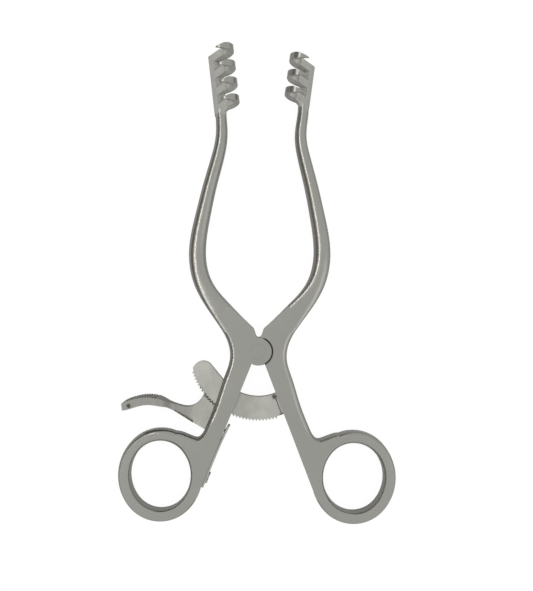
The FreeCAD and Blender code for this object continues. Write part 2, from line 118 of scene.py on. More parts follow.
class Graph:
    """A node tree that is filled node by node."""

    def __init__(self, tree: bpy.types.NodeTree) -> None:
        """Wraps a tree.

        Args:
            tree: the tree of a material, a world or a node group.
        """
        self.tree = tree

    def add(self, kind: str, values: dict | None = None, **settings: object) -> Node:
        """Adds a node.

        Args:
            kind: the node's type, without the ShaderNode prefix.
            values: the values of its input sockets, by name or number; a socket is linked.
            settings: the node's own settings.

        Returns:
            The new node.
        """
        name = kind if kind.startswith("Node") else "ShaderNode" + kind
        node = self.tree.nodes.new(name)
        for key, value in settings.items():
            setattr(node, key, value)
        for key, value in (values or {}).items():
            self.feed(node, key, value)
        return node

    def feed(self, node: Node, key: str | int, value: object) -> None:
        """Sets or links one input of a node.

        Args:
            node: the node that takes the value.
            key: the input's name or number.
            value: a number, a colour or an output socket.
        """
        if isinstance(value, Socket):
            self.tree.links.new(value, node.inputs[key])
        else:
            node.inputs[key].default_value = value

    def maths(self, operation: str, *terms: Term, clamp: bool = False) -> Socket:
        """Adds a Math node.

        Args:
            operation: the operation's name.
            terms: up to three numbers or sockets.
            clamp: whether the result stays between 0 and 1.

        Returns:
            The node's output socket.
        """
        return self.add("Math", dict(enumerate(terms)), operation=operation, use_clamp=clamp).outputs[0]

    def product(self, first: Term, *others: Term) -> Socket:
        """Multiplies two or more numbers or sockets, one after the other.

        Args:
            first: the first of them.
            others: the rest.

        Returns:
            The product's socket.
        """
        for other in others:
            first = self.maths("MULTIPLY", first, other)
        return first

    def vector(self, operation: str, *terms: object) -> Node:
        """Adds a Vector Math node.

        Args:
            operation: the operation's name.
            terms: the vectors or sockets that it takes.

        Returns:
            The new node.
        """
        return self.add("VectorMath", dict(enumerate(terms)), operation=operation)

    def smooth(self, value: Socket, start: Term, end: Term) -> Socket:
        """Makes a soft step from 0 to 1.

        Args:
            value: the socket that the step follows.
            start: the value where the step begins, which may lie above the end.
            end: the value where it has reached 1.

        Returns:
            The step's socket.
        """
        limits = {0: value, 1: start, 2: end}
        return self.add("MapRange", limits, interpolation_type="SMOOTHSTEP").outputs[0]

    def noise(self, place: Socket, scale: Term, detail: float) -> Socket:
        """Adds a noise.

        Args:
            place: the coordinates that it follows.
            scale: how fine it is.
            detail: how many finer layers lie on it.

        Returns:
            The noise's socket, with values about 0.5.
        """
        return self.add("TexNoise", {"Vector": place, "Scale": scale, "Detail": detail}).outputs[0]

    def mix(self, kind: Mixed, share: Term, first: object, second: object) -> Socket:
        """Mixes two colours or two vectors.

        Args:
            kind: which of the two they are.
            share: the share of the second.
            first: the first colour, vector or socket.
            second: the second colour, vector or socket.

        Returns:
            The mix's socket.
        """
        data_type, low, high, result = kind.value
        return self.add("Mix", {0: share, low: first, high: second}, data_type=data_type).outputs[result]

    def blend(self, share: Term, first: Colour | Socket, second: Colour | Socket) -> Socket:
        """Mixes two colours.

        Args:
            share: the share of the second colour.
            first: a colour or a socket.
            second: a colour or a socket.

        Returns:
            The mixed colour's socket.
        """
        return self.mix(Mixed.COLOUR, share, opaque(first), opaque(second))

    def bump(self, height: Socket, strength: float, depth: float, normal: Socket) -> Socket:
        """Adds fine relief to a surface.

        Args:
            height: the relief.
            strength: the share of it that shows.
            depth: its depth.
            normal: the surface's normal without it.

        Returns:
            The normal with the relief.
        """
        values = {"Height": height, "Strength": strength, "Distance": depth, "Normal": normal}
        return self.add("Bump", values).outputs[0]

    def place(self) -> Socket:
        """The place on the object, in metres."""
        return self.add("TexCoord").outputs["Object"]

    def axes(self, vector: Socket) -> tuple[Socket, Socket, Socket]:
        """The X, Y and Z of a vector."""
        parts = self.add("SeparateXYZ", {0: vector}).outputs
        return parts[0], parts[1], parts[2]

    def from_above(self, place: Socket) -> Socket:
        """A place without its height."""
        return self.vector("MULTIPLY", place, (1.0, 1.0, 0.0)).outputs[0]

    def off_circle(self, place: Socket, radius: Term) -> Socket:
        """How far a place lies from a circle about the pivot.

        Args:
            place: the place.
            radius: the circle's radius.

        Returns:
            The distance's socket.
        """
        out = self.vector("LENGTH", self.from_above(place)).outputs["Value"]
        return self.maths("ABSOLUTE", self.maths("SUBTRACT", out, radius))

    def off_point(self, place: Socket, x: Term, y: Term) -> Socket:
        """How far a place lies from a point, seen from above.

        Args:
            place: the place.
            x: the point's X.
            y: the point's Y.

        Returns:
            The distance's socket.
        """
        middle = self.add("CombineXYZ", {0: x, 1: y, 2: 0.0}).outputs[0]
        return self.vector("DISTANCE", self.from_above(place), middle).outputs["Value"]


class ShaderGroup:
    """A node group that is built once and used by several materials."""

    title = "group"
    takes: dict[str, float] = {}
    gives: tuple[str, ...] = ()

    def __init__(self) -> None:
        """Makes the group's tree, with its sockets and nodes."""
        self.tree = bpy.data.node_groups.new(self.title, "ShaderNodeTree")
        for name, value in self.takes.items():
            socket = self.tree.interface.new_socket(name, in_out="INPUT", socket_type="NodeSocketFloat")
            socket.default_value = value
        for name in self.gives:
            self.tree.interface.new_socket(name, in_out="OUTPUT", socket_type="NodeSocketFloat")
        self.graph = Graph(self.tree)
        self.source = self.graph.add("NodeGroupInput")
        self.target = self.graph.add("NodeGroupOutput")
        self.build()

    def build(self) -> None:
        """Fills the group."""
        raise NotImplementedError

    def taken(self, name: str) -> Socket:
        """The socket of one of the group's inputs."""
        return self.source.outputs[name]

    def give(self, name: str, value: Socket) -> None:
        """Links a value to one of the group's outputs."""
        self.graph.feed(self.target, name, value)

    def place(self, graph: Graph, **values: Term) -> Node:
        """Puts the group into a material.

        Args:
            graph: the material's tree.
            values: the group's inputs, with spaces in their names written as underlines.

        Returns:
            The group's node.
        """
        node = graph.add("Group", node_tree=self.tree)
        for name, value in values.items():
            graph.feed(node, name.replace("_", " "), value)
        return node


class BlastGrain(ShaderGroup):
    """The fine, even grain of a surface blasted with glass beads, with faint clouds in its tone."""

    title = "blast grain"
    takes = {"Grain Size": 0.2 * MM, "Cloud Size": 7.0 * MM}
    gives = ("Grain", "Clouds")
    grain_detail = 3.0
    cloud_detail = 4.0

    def build(self) -> None:
        """Fills the group with two noises, one fine and one broad."""
        graph = self.graph
        place = graph.place()
        noises = (("Grain Size", self.grain_detail, "Grain"), ("Cloud Size", self.cloud_detail, "Clouds"))
        for size, detail, result in noises:
            scale = graph.maths("DIVIDE", 1.0, self.taken(size))
            self.give(result, graph.noise(place, scale, detail))


class EdgeWear(ShaderGroup):
    """A mask along outer edges, where handling and tumbling have brightened the steel."""

    title = "edge wear"
    takes = {"Reach": 0.4 * MM}
    gives = ("Edge",)
    # How nearly the flat and the rounded normal agree where the wear begins and where it is full.
    begins_at = 0.995
    full_at = 0.8
    samples = 6

    def build(self) -> None:
        """Fills the group with the turn between the flat normal and the one rounded over the edge."""
        graph = self.graph
        rounded = graph.add("Bevel", {"Radius": self.taken("Reach")}, samples=self.samples).outputs[0]
        flat = graph.add("NewGeometry").outputs["Normal"]
        turn = graph.vector("DOT_PRODUCT", rounded, flat).outputs["Value"]
        self.give("Edge", graph.smooth(turn, self.begins_at, self.full_at))


class CreviceShadeAndGrime(ShaderGroup):
    """Two masks: painted shade with grime in gaps and inner corners, and places that the piece itself closes
    in from farther off.
    """

    title = "crevice shade and grime"
    takes = {"Reach": 1.2 * MM}
    gives = ("Shade And Grime", "Closed In")
    # The open share of the surroundings where the painted shade and grime begin and where they are full.
    begins_at = 0.55
    full_at = 0.15
    far_reach = 12.0
    samples = 8

    def build(self) -> None:
        """Fills the group with how far the surroundings close in on a point, near by and farther off."""
        graph = self.graph
        reach = self.taken("Reach")
        near = graph.add("AmbientOcclusion", {"Distance": reach}, samples=self.samples)
        # Painted shade with grime: dark where the near surroundings close in, in gaps and inner corners.
        self.give("Shade And Grime", graph.smooth(near.outputs["AO"], self.begins_at, self.full_at))
        farther = graph.maths("MULTIPLY", reach, self.far_reach)
        room = graph.add("AmbientOcclusion", {"Distance": farther}, samples=self.samples, only_local=True)
        self.give("Closed In", graph.maths("SUBTRACT", 1.0, room.outputs["AO"], clamp=True))


class GrindLines(ShaderGroup):
    """The long scratches of a belt or a wheel, in coordinates that the material gives."""

    title = "grind lines"
    takes = {"Across": 0.0, "Along": 0.0, "Line Width": 0.18 * MM}
    gives = ("Lines", "Streaks")
    # Each result, with its width and its length in widths of a line.
    drawn = (("Lines", 1.0, 45.0), ("Streaks", 5.0, 60.0))
    detail = 2.0

    def build(self) -> None:
        """Fills the group with two noises that are drawn out along the scratches."""
        graph = self.graph
        for result, width, length in self.drawn:
            size = graph.maths("MULTIPLY", self.taken("Line Width"), width)
            across = graph.maths("DIVIDE", self.taken("Across"), size)
            stretched = graph.maths("MULTIPLY", size, length / width)
            along = graph.maths("DIVIDE", self.taken("Along"), stretched)
            place = graph.add("CombineXYZ", {0: across, 1: along, 2: 0.0}).outputs[0]
            self.give(result, graph.noise(place, 1.0, self.detail))


class SeamEdgeDark(ShaderGroup):
    """Darkens the edges along a seam that runs at one distance from the pivot."""

    title = "seam edge dark"
    takes = {"Edge": 0.0, "Radius": 4.0 * MM, "Half Width": 0.5 * MM, "From X": -1.0, "To X": 1.0}
    gives = ("Seam Mark",)
    thickening = 3.0

    def build(self) -> None:
        """Fills the group with the edge mask, kept only in a round band about the pivot."""
        graph = self.graph
        place = graph.place()
        x = graph.axes(place)[0]
        off = graph.off_circle(place, self.taken("Radius"))
        inside = graph.maths("LESS_THAN", off, self.taken("Half Width"))
        after = graph.maths("GREATER_THAN", x, self.taken("From X"))
        before = graph.maths("LESS_THAN", x, self.taken("To X"))
        thick = graph.maths("MULTIPLY", self.taken("Edge"), self.thickening, clamp=True)
        self.give("Seam Mark", graph.product(inside, after, before, thick))


class LapSeam(ShaderGroup):
    """Grime and painted shade in the round seam of the lap joint, to the right in front and to the left
    behind.
    """

    title = "lap seam"
    takes = {"Radius": 4.0 * MM, "Half Width": 0.2 * MM, "Middle Z": 2.0 * MM}
    gives = ("Seam Mark",)
    # The seam's edges, in half widths, and how far from the middle of the joint the grime and painted shade
    # set in.
    clean_at = 1.2
    dark_at = 0.6
    sets_in = 1.0 * MM
    full_from = 2.6 * MM

    def build(self) -> None:
        """Fills the group with a thin ring about the pivot, on the seam's side of the joint."""
        graph = self.graph
        place = graph.place()
        x, _, z = graph.axes(place)
        off = graph.off_circle(place, self.taken("Radius"))
        share = graph.maths("DIVIDE", off, self.taken("Half Width"))
        ring = graph.smooth(share, self.clean_at, self.dark_at)
        side = graph.maths("SIGN", graph.maths("SUBTRACT", z, self.taken("Middle Z")))
        there = graph.smooth(graph.maths("MULTIPLY", side, x), self.sets_in, self.full_from)
        self.give("Seam Mark", graph.maths("MULTIPLY", ring, there))


class StraightSeam(ShaderGroup):
    """A ragged dark line along a straight seam between two pieces."""

    title = "straight seam"
    takes = {"X": 0.0, "Y": 0.0, "Lean": 0.0, "Half Width": 0.3 * MM}
    gives = ("Seam Mark",)
    noise_scale = 900.0
    detail = 2.0
    clean_at = 1.5
    dark_at = 0.7

    def build(self) -> None:
        """Fills the group with the distance from the seam's line, broken up by a noise."""
        graph = self.graph
        place = graph.place()
        x, y, _ = graph.axes(place)
        lean = self.taken("Lean")
        right = graph.maths("SUBTRACT", x, self.taken("X"))
        up = graph.maths("SUBTRACT", y, self.taken("Y"))
        across = graph.maths(
            "ADD",
            graph.maths("MULTIPLY", right, graph.maths("COSINE", lean)),
            graph.maths("MULTIPLY", up, graph.maths("SINE", lean)),
        )
        share = graph.maths("DIVIDE", graph.maths("ABSOLUTE", across), self.taken("Half Width"))
        ragged = graph.maths("ADD", share, graph.noise(place, self.noise_scale, self.detail))
        self.give("Seam Mark", graph.smooth(ragged, self.clean_at, self.dark_at))


class Ribs(ShaderGroup):
    """Painted shade in the bottoms of the fine grooves across the lever's pad, and painted highlight on the
    lands between them.
    """

    title = "ribs"
    takes = {"First": 0.0, "Last": 10.0 * MM, "Pitch": 1.0 * MM}
    gives = ("Groove", "Land")
    # Where land and groove are reached, in shares of the pitch from the middle of a groove.
    land_at = 0.34
    groove_at = 0.2
    half_pitch = 0.5
    # How far the stripes go on past the outer grooves, and the least turn towards the rakes.
    margin = 0.4 * MM
    least_turn = 0.3

    def build(self) -> None:
        """Fills the group with stripes along X, on faces that turn towards the rakes."""
        graph = self.graph
        first = self.taken("First")
        x = graph.axes(graph.place())[0]
        turn = graph.axes(graph.add("NewGeometry").outputs["True Normal"])[1]
        along = graph.maths("DIVIDE", graph.maths("SUBTRACT", x, first), self.taken("Pitch"))
        off = graph.maths("PINGPONG", along, self.half_pitch)
        stripe = graph.smooth(off, self.land_at, self.groove_at)
        facing = graph.maths("GREATER_THAN", turn, self.least_turn)
        after = graph.maths("GREATER_THAN", x, graph.maths("SUBTRACT", first, self.margin))
        before = graph.maths("LESS_THAN", x, graph.maths("ADD", self.taken("Last"), self.margin))
        crest = graph.product(facing, after, before)
        self.give("Groove", graph.maths("MULTIPLY", crest, stripe))
        self.give("Land", graph.maths("MULTIPLY", crest, graph.maths("SUBTRACT", 1.0, stripe)))


class BrownSpot(ShaderGroup):
    """A ragged brown spot, as soldering leaves it by the bar; a row of them along the lever's neck is
    painted shade.
    """

    title = "brown spot"
    takes = {"X": 0.0, "Y": 0.0, "Size": 1.0 * MM}
    gives = ("Spot",)
    noise_scale = 1800.0
    detail = 2.0
    clean_at = 1.45
    dark_at = 0.8

    def build(self) -> None:
        """Fills the group with the distance from the spot's middle, broken up by a noise."""
        graph = self.graph
        place = graph.place()
        away = graph.off_point(place, self.taken("X"), self.taken("Y"))
        share = graph.maths("DIVIDE", away, self.taken("Size"))
        ragged = graph.maths("ADD", share, graph.noise(place, self.noise_scale, self.detail))
        self.give("Spot", graph.smooth(ragged, self.clean_at, self.dark_at))


class FlushPin(ShaderGroup):
    """A mask that is nought round a pin whose end is ground away flush, and one elsewhere."""

    title = "flush pin"
    takes = {"X": 0.0, "Y": 0.0, "Radius": 1.0 * MM}
    gives = ("Away",)
    margin = 0.5 * MM

    def build(self) -> None:
        """Fills the group with a step just outside the pin's hole."""
        graph = self.graph
        away = graph.off_point(graph.place(), self.taken("X"), self.taken("Y"))
        limit = graph.maths("ADD", self.taken("Radius"), self.margin)
        self.give("Away", graph.maths("GREATER_THAN", away, limit))


@dataclass
class Workshop:
    """The effects that the finishes share."""

    seam: SeamEdgeDark = field(default_factory=SeamEdgeDark)
    lap: LapSeam = field(default_factory=LapSeam)
    line: StraightSeam = field(default_factory=StraightSeam)
    ribs: Ribs = field(default_factory=Ribs)
    brown_spot: BrownSpot = field(default_factory=BrownSpot)
    pin: FlushPin = field(default_factory=FlushPin)
    grain: BlastGrain = field(default_factory=BlastGrain)
    wear: EdgeWear = field(default_factory=EdgeWear)
    shade_and_grime: CreviceShadeAndGrime = field(default_factory=CreviceShadeAndGrime)
    lines: GrindLines = field(default_factory=GrindLines)


@dataclass(frozen=True)
class Pin:
    """A round pin that stands along Z."""

    x: float
    y: float
    radius: float

    @classmethod
    def of(cls, node: str) -> "Pin":
        """Reads a pin's place and size from the frame.

        Args:
            node: the pin's node.

        Returns:
            The pin.
        """
        low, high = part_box(node)
        return cls((low[0] + high[0]) / 2, (low[1] + high[1]) / 2, (high[0] - low[0]) / 2)


@dataclass(frozen=True)
class Spot:
    """Where a brown spot lies, seen from above, and its size."""

    x: float
    y: float
    size: float

    def towards(self, other: "Spot", share: float) -> "Spot":
        """A spot on the way to another one.

        Args:
            other: the other spot.
            share: how far on the way it lies, from 0 to 1.

        Returns:
            The spot between, with a size between theirs.
        """
        start, end = (Vector((spot.x, spot.y, spot.size)) for spot in (self, other))
        return Spot(*start.lerp(end, share))


@dataclass(frozen=True)
class Seam:
    """A straight seam: a point on it, how far it leans from Y, and half its width."""

    x: float
    y: float
    lean: float
    half_width: float


@dataclass(frozen=True)
class Ribbing:
    """The grooves across the lever's pad: the X of the first and the last, and their pitch."""

    first: float
    last: float
    pitch: float


@dataclass(frozen=True)
class SatinFinish:
    """Glass-beaded stainless steel, which is matt where a rake closes in on itself and painted paler there:
    painted light that lifts the shade in those hollows.
    """

    name: str = Slot.SATIN_FORGING.value
    base: Colour = (0.315, 0.313, 0.287)
    light: Colour = (0.37, 0.368, 0.342)
    painted_lift: Colour = (0.52, 0.516, 0.488)
    dark: Colour = (0.035, 0.027, 0.018)
    light_share: float = 0.15
    roughness: float = 0.24
    grain_size: float = 0.22 * MM
    grain_depth: float = 0.0015 * MM
    grain_strength: float = 0.5
    cloud_size: float = 8.0 * MM
    cloud_tone: float = 0.5
    cloud_roughness: float = 0.08
    wear_reach: float = 0.3 * MM
    wear_share: float = 0.2
    rake_from: float = 74.0 * MM
    rake_roughness: float = 0.03
    web_gain: float = 4.0
    lift_share: float = 0.9
    web_roughness: float = 0.35
    web_metal_lost: float = 0.85
    crevice_reach: float = 0.5 * MM
    shade_and_grime_share: float = 0.12
    lap_radius: float = 4.77 * MM
    lap_half_width: float = 0.32 * MM
    lap_share: float = 0.95
    spot_share: float = 0.8
    spots: tuple[Spot, ...] = (
        Spot(6.1 * MM, -15.0 * MM, 0.7 * MM), Spot(8.7 * MM, -21.9 * MM, 0.6 * MM))
    edge_round: float = 0.14 * MM
    edge_samples: int = 16
    pins: tuple[Pin, ...] = ()

    def away_from_pins(self, graph: Graph, workshop: Workshop) -> Term:
        """The mask that keeps edge effects off the flush pins, whose ends mustn't show.

        Args:
            graph: the material's tree.
            workshop: the shared effects.

        Returns:
            Nought at a pin and one elsewhere.
        """
        away: Term = 1.0
        for pin in self.pins:
            mask = workshop.pin.place(graph, X=pin.x, Y=pin.y, Radius=pin.radius)
            away = graph.maths("MULTIPLY", away, mask.outputs["Away"])
        return away

    def grime_and_shade(self, graph: Graph, workshop: Workshop, shade_and_grime: Socket, away: Term) -> Socket:
        """Painted shade with grime in corners, grime and painted shade in the seam of the lap, and the brown
        spots.

        Args:
            graph: the material's tree.
            workshop: the shared effects.
            shade_and_grime: the mask of painted shade and grime in gaps and inner corners.
            away: the mask of the flush pins.

        Returns:
            The share of the dark colour.
        """
        lap = workshop.lap.place(graph, Radius=self.lap_radius, Half_Width=self.lap_half_width,
                                 Middle_Z=MIDDLE_Z)
        # Painted shade with grime in gaps and inner corners.
        grime_and_shade = graph.product(shade_and_grime, self.shade_and_grime_share, away)
        # Grime and painted shade in the lap's seam.
        grime_and_shade = graph.maths("MAXIMUM", grime_and_shade, graph.maths("MULTIPLY", lap.outputs["Seam Mark"], self.lap_share))
        for spot in self.spots:
            mask = workshop.brown_spot.place(graph, X=spot.x, Y=spot.y, Size=spot.size).outputs["Spot"]
            grime_and_shade = graph.maths("MAXIMUM", grime_and_shade, graph.maths("MULTIPLY", mask, self.spot_share))
        return grime_and_shade

    def material(self, workshop: Workshop) -> bpy.types.Material:
        """Makes the material.

        Args:
            workshop: the shared effects.

        Returns:
            The new material.
        """
        material, graph, shader = new_metal(self.name)
        grain = workshop.grain.place(graph, Grain_Size=self.grain_size, Cloud_Size=self.cloud_size)
        wear = workshop.wear.place(graph, Reach=self.wear_reach).outputs["Edge"]
        shade_and_grime = workshop.shade_and_grime.place(graph, Reach=self.crevice_reach)
        away = self.away_from_pins(graph, workshop)
        clouds = graph.maths("MULTIPLY_ADD", grain.outputs["Clouds"], self.cloud_tone, -self.cloud_tone / 2)
        tone = graph.maths("ADD", clouds, self.light_share, clamp=True)
        toned = graph.blend(tone, self.base, self.light)
        worn = graph.blend(graph.product(wear, away, self.wear_share), toned, self.light)

        # The rake's hollows are made matt and less metallic, and painted paler: painted light that lifts
        # their shade.
        rake = graph.maths("GREATER_THAN", graph.axes(graph.place())[1], self.rake_from)
        closed = graph.maths("MULTIPLY", shade_and_grime.outputs["Closed In"], self.web_gain, clamp=True)
        web = graph.maths("MULTIPLY", closed, rake)
        worn = graph.blend(graph.maths("MULTIPLY", web, self.lift_share), worn, self.painted_lift)
        # Painted shade and grime, the lap's seam and the braze spots go into the dark colour.
        grime_and_shade = self.grime_and_shade(graph, workshop, shade_and_grime.outputs["Shade And Grime"], away)
        graph.feed(shader, "Base Color", graph.blend(grime_and_shade, worn, self.dark))

        rough = graph.maths("MULTIPLY_ADD", clouds, self.cloud_roughness, self.roughness)
        rough = graph.maths("MULTIPLY_ADD", web, self.web_roughness, rough)
        graph.feed(shader, "Roughness", graph.maths("MULTIPLY_ADD", rake, self.rake_roughness, rough))
        graph.feed(shader, "Metallic", graph.maths("MULTIPLY_ADD", web, -self.web_metal_lost, 1.0))

        flat = graph.add("NewGeometry").outputs["Normal"]
        rounded = graph.add("Bevel", {"Radius": self.edge_round}, samples=self.edge_samples).outputs[0]
        normal = graph.mix(Mixed.VECTOR, away, flat, rounded)
        relief = graph.bump(grain.outputs["Grain"], self.grain_strength, self.grain_depth, normal)
        graph.feed(shader, "Normal", relief)
        return material


@dataclass(frozen=True)
class GroundFinish:
    """Steel that is ground on a belt or a wheel, with fine lines one way and a warm patina.

    The round seam is where the bar enters a handle: its distance from the pivot, half its band, and the
    X that it runs from and to. Handled steel is duller: from the first X on, and fully at the second.
    """

    name: str
    grinding: Grinding
    base: Colour = (0.34, 0.337, 0.308)
    light: Colour = (0.5, 0.495, 0.455)
    dull: Colour = (0.3, 0.297, 0.272)
    brown: Colour = (0.045, 0.032, 0.02)
    dark: Colour = (0.035, 0.028, 0.02)
    roughness: float = 0.36
    line_width: float = 0.16 * MM
    line_depth: float = 0.005 * MM
    line_strength: float = 0.6
    streak_contrast: float = 1.6
    streak_shift: float = -0.4
    streak_share: float = 0.25
    streak_gloss: float = 0.1
    cloud_size: float = 9.0 * MM
    cloud_contrast: float = 3.4
    cloud_shift: float = -1.25
    cloud_share: float = 0.65
    wear_reach: float = 0.3 * MM
    wear_share: float = 0.35
    crevice_reach: float = 1.0 * MM
    shade_and_grime_share: float = 0.85
    contact_reach: float = 0.7 * MM
    contact_share: float = 0.97
    seam_radius: float = 23.3 * MM
    seam_band: float = 1.1 * MM
    seam_from: float = -1.0
    seam_to: float = 1.0
    spots: tuple[Spot, ...] = ()
    spot_share: float = 0.85
    seams: tuple[Seam, ...] = ()
    line_share: float = 0.9
    ribs: Ribbing | None = None
    groove_shade_share: float = 0.98
    land_highlight_share: float = 0.8
    handled: tuple[float, float] | None = None
    edge_round: float = 0.12 * MM
    edge_samples: int = 12
    leaf_slant: float = 0.3

    def coordinates(self, graph: Graph) -> tuple[Socket, Socket]:
        """The place across and along the lines, in metres.

        Args:
            graph: the material's tree.

        Returns:
            The socket across the lines and the one along them.
        """
        x, y, z = graph.axes(graph.place())
        if self.grinding is Grinding.ALONG_LEAF:
            along = graph.maths("ADD", graph.maths("MULTIPLY", x, math.sin(HANDLE_LEAN)),
                                graph.maths("MULTIPLY", y, math.cos(HANDLE_LEAN)))
            return graph.maths("ADD", z, graph.maths("MULTIPLY", x, self.leaf_slant)), along
        rise = RISE[self.grinding]
        across = graph.maths("SUBTRACT", graph.maths("MULTIPLY", x, math.sin(rise)),
                             graph.maths("MULTIPLY", y, math.cos(rise)))
        along = graph.maths("ADD", graph.maths("MULTIPLY", x, math.cos(rise)),
                            graph.maths("MULTIPLY", y, math.sin(rise)))
        return graph.maths("ADD", across, z), along

    def patina(self, graph: Graph, workshop: Workshop, streaks: Socket) -> Socket:
        """The steel's tone, with streaks, clouds, duller handled steel and bright edges.

        Args:
            graph: the material's tree.
            workshop: the shared effects.
            streaks: the broad streaks of the grinding.

        Returns:
            The colour's socket.
        """
        clouds = workshop.grain.place(graph, Cloud_Size=self.cloud_size).outputs["Clouds"]
        clouds = graph.maths("MULTIPLY_ADD", clouds, self.cloud_contrast, self.cloud_shift, clamp=True)
        tone = graph.maths("MULTIPLY", clouds, self.cloud_share)
        tone = graph.maths("MULTIPLY_ADD", streaks, self.streak_share, tone)
        toned = graph.blend(tone, self.base, self.light)
        if self.handled:
            share = graph.smooth(graph.axes(graph.place())[0], *self.handled)
            toned = graph.blend(share, toned, self.dull)
        wear = workshop.wear.place(graph, Reach=self.wear_reach).outputs["Edge"]
        return graph.blend(graph.maths("MULTIPLY", wear, self.wear_share), toned, self.light)

    def grime_and_shade(self, graph: Graph, workshop: Workshop) -> Socket:
        """Painted shade with grime in corners, and dark on the edges that pass through the round seam.

        Args:
            graph: the material's tree.
            workshop: the shared effects.

        Returns:
            The share of the dark colour.
        """
        # Painted shade with grime in gaps and inner corners.
        shade_and_grime = workshop.shade_and_grime.place(graph, Reach=self.crevice_reach).outputs["Shade And Grime"]
        edge = workshop.wear.place(graph, Reach=self.contact_reach).outputs["Edge"]
        seam_dark = workshop.seam.place(graph, Edge=edge, Radius=self.seam_radius, Half_Width=self.seam_band,
                                   From_X=self.seam_from, To_X=self.seam_to).outputs["Seam Mark"]
        return graph.maths("MAXIMUM", graph.maths("MULTIPLY", shade_and_grime, self.shade_and_grime_share),
                           graph.maths("MULTIPLY", seam_dark, self.contact_share))

    def brown_marks(self, graph: Graph, workshop: Workshop) -> Term:
        """The brown of straight seams and spots, with the painted shade along the lever's neck.

        Args:
            graph: the material's tree.
            workshop: the shared effects.

        Returns:
            The share of the brown colour.
        """
        brown_marks: Term = 0.0
        for seam in self.seams:
            line = workshop.line.place(graph, X=seam.x, Y=seam.y, Lean=seam.lean, Half_Width=seam.half_width)
            mask = graph.maths("MULTIPLY", line.outputs["Seam Mark"], self.line_share)
            brown_marks = graph.maths("MAXIMUM", brown_marks, mask)
        for spot in self.spots:
            mask = workshop.brown_spot.place(graph, X=spot.x, Y=spot.y, Size=spot.size).outputs["Spot"]
            brown_marks = graph.maths("MAXIMUM", brown_marks, graph.maths("MULTIPLY", mask, self.spot_share))
        return brown_marks

    def material(self, workshop: Workshop) -> bpy.types.Material:
        """Makes the material.

        Args:
            workshop: the shared effects.

        Returns:
            The new material.
        """
        material, graph, shader = new_metal(self.name)
        across, along = self.coordinates(graph)
        lines = workshop.lines.place(graph, Across=across, Along=along, Line_Width=self.line_width)
        streaks = graph.maths("MULTIPLY_ADD", lines.outputs["Streaks"], self.streak_contrast,
                              self.streak_shift, clamp=True)
        worn = self.patina(graph, workshop, streaks)
        # Painted shade with grime in corners, and dark edges in the round seam.
        grime_and_shade = self.grime_and_shade(graph, workshop)
        # Painted shade in the grooves' bottoms and painted highlight on their lands.
        if self.ribs:
            ribs = workshop.ribs.place(graph, First=self.ribs.first, Last=self.ribs.last,
                                       Pitch=self.ribs.pitch)
            groove = graph.maths("MULTIPLY", ribs.outputs["Groove"], self.groove_shade_share)
            grime_and_shade = graph.maths("MAXIMUM", grime_and_shade, groove)
            land = graph.maths("MULTIPLY", ribs.outputs["Land"], self.land_highlight_share)
            worn = graph.blend(land, worn, self.light)
        browned = graph.blend(self.brown_marks(graph, workshop), worn, self.brown)
        graph.feed(shader, "Base Color", graph.blend(grime_and_shade, browned, self.dark))

        dullest = self.roughness + self.streak_gloss / 2
        graph.feed(shader, "Roughness", graph.maths("MULTIPLY_ADD", streaks, -self.streak_gloss, dullest))

        rounded = graph.add("Bevel", {"Radius": self.edge_round}, samples=self.edge_samples).outputs[0]
        relief = graph.bump(lines.outputs["Lines"], self.line_strength, self.line_depth, rounded)
        graph.feed(shader, "Normal", relief)
        return material


def bare_graph(owner: bpy.types.Material | bpy.types.World) -> Graph:
    """Clears the nodes of a material or a world.

    Args:
        owner: the material or the world.

    Returns:
        Its empty tree.
    """
    owner.use_nodes = True
    owner.node_tree.nodes.clear()
    return Graph(owner.node_tree)


def new_metal(name: str) -> tuple[bpy.types.Material, Graph, Node]:
    """Makes an empty metal.

    Args:
        name: the material's name.

    Returns:
        The material, its graph and its shader node.
    """
    material = bpy.data.materials.new(name)
    graph = bare_graph(material)
    shader = graph.add("BsdfPrincipled", {"Metallic": 1.0})
    graph.add("OutputMaterial", {"Surface": shader.outputs[0]})
    return material, graph, shader


def put(name: str, data: bpy.types.ID) -> bpy.types.Object:
    """Puts a mesh, a lamp or a camera into the scene.

    Args:
        name: the object's name.
        data: what it shows.

    Returns:
        The new object.
    """
    thing = bpy.data.objects.new(name, data)
    bpy.context.scene.collection.objects.link(thing)
    return thing


def dress(node: bpy.types.Object, material: bpy.types.Material) -> None:
    """Gives an object one material.

    Args:
        node: the object.
        material: its material.
    """
    if not node.material_slots:
        node.data.materials.append(material)
    for slot in node.material_slots:
        slot.material = material


@dataclass
class Forgings:
    """The two arms and the pieces that are ground flush with them."""

    nodes: dict[str, bpy.types.Object]
    arms: tuple[str, ...] = ("left_arm", "right_arm")
    flush: tuple[str, ...] = ("pivot_rivet", "ratchet_rivet_upper", "ratchet_rivet_lower", "lever_pin")

    def build(self, workshop: Workshop) -> None:
        """Dresses the forgings.

        Args:
            workshop: the shared effects.
        """
        pins = tuple(Pin.of(name) for name in self.flush)
        material = SatinFinish(pins=pins).material(workshop)
        for name in self.arms + self.flush:
            dress(self.nodes[name], material)
            LOG.info("dressed %s in %s", name, material.name)


